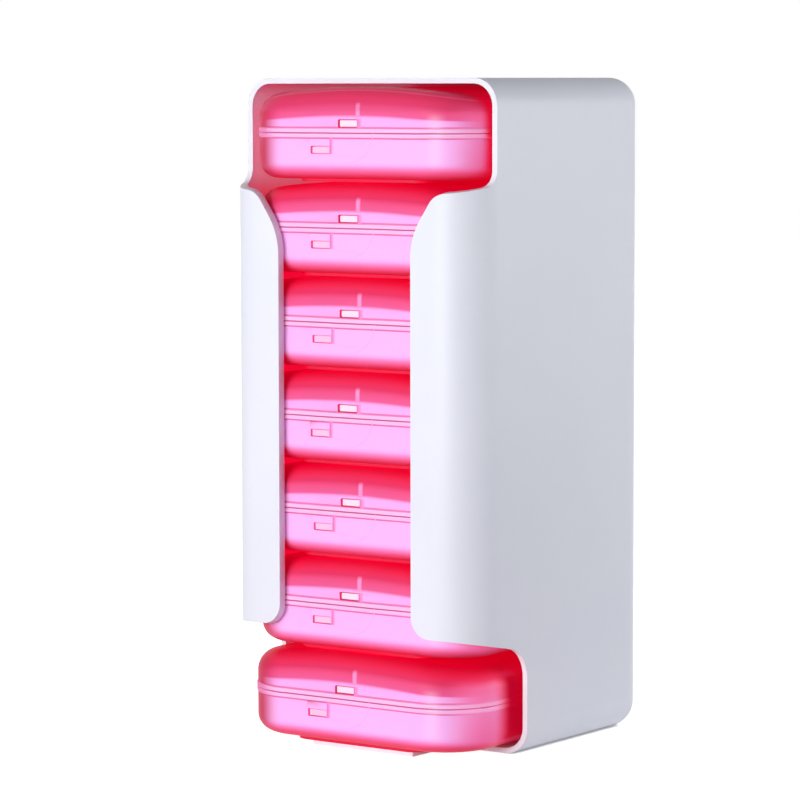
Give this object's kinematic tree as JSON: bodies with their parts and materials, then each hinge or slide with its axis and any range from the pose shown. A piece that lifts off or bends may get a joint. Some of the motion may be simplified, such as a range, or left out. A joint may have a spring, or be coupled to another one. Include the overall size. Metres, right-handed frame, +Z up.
{
  "type": "weekly pill organizer",
  "caption": "Upright open-fronted white case holding a column of frosted pink hinged pill boxes; the lowest is drawn out below, the top is loaded above.",
  "frame": {"origin": "centre of the footprint, on the surface that the tower stands on", "axes": "+Z up, +X to the right of someone facing the slot, -Y out of the slot"},
  "size_m": [0.0908, 0.0954, 0.2002],
  "materials": {
    "case_plastic": "satin-gloss white moulding",
    "base_plastic": "frosted translucent pink",
    "lid_plastic": "frosted translucent pink",
    "pin_steel": "drawn steel wire"
  },
  "bodies": {
    "case": {"tower_shell": "case_plastic", "rear_panel": "case_plastic"},
    "box_1": {"box_1_base": "base_plastic", "box_1_lid": "lid_plastic", "box_1_hinge_pin": "pin_steel"},
    "box_2": {"box_2_base": "base_plastic", "box_2_lid": "lid_plastic", "box_2_hinge_pin": "pin_steel"},
    "box_3": {"box_3_base": "base_plastic", "box_3_lid": "lid_plastic", "box_3_hinge_pin": "pin_steel"},
    "box_4": {"box_4_base": "base_plastic", "box_4_lid": "lid_plastic", "box_4_hinge_pin": "pin_steel"},
    "box_5": {"box_5_base": "base_plastic", "box_5_lid": "lid_plastic", "box_5_hinge_pin": "pin_steel"},
    "box_6": {"box_6_base": "base_plastic", "box_6_lid": "lid_plastic", "box_6_hinge_pin": "pin_steel"},
    "box_7": {"box_7_base": "base_plastic", "box_7_lid": "lid_plastic", "box_7_hinge_pin": "pin_steel"}
  },
  "joints": [
    {"name": "box_7_slide", "type": "slide", "parent": "case", "child": "box_7", "axis": [0, -1, 0], "range_m": [0, 0.105]},
    {"name": "box_6_lift", "type": "slide", "parent": "case", "child": "box_6", "axis": [0, 0, 1], "range_m": [0, 0.0008]},
    {"name": "box_5_lift", "type": "slide", "parent": "case", "child": "box_5", "axis": [0, 0, 1], "range_m": [0, 0.0008]},
    {"name": "box_4_lift", "type": "slide", "parent": "case", "child": "box_4", "axis": [0, 0, 1], "range_m": [0, 0.0008]},
    {"name": "box_3_lift", "type": "slide", "parent": "case", "child": "box_3", "axis": [0, 0, 1], "range_m": [0, 0.0008]},
    {"name": "box_2_lift", "type": "slide", "parent": "case", "child": "box_2", "axis": [0, 0, 1], "range_m": [0, 0.0008]},
    {"name": "box_1_slide", "type": "slide", "parent": "box_2", "child": "box_1", "axis": [0, -1, 0], "range_m": [0, 0.105]}
  ],
  "couplings": [
    {"joint": "box_5_lift", "follows": "box_6_lift", "ratio": 1},
    {"joint": "box_4_lift", "follows": "box_6_lift", "ratio": 1},
    {"joint": "box_3_lift", "follows": "box_6_lift", "ratio": 1},
    {"joint": "box_2_lift", "follows": "box_6_lift", "ratio": 1}
  ]
}
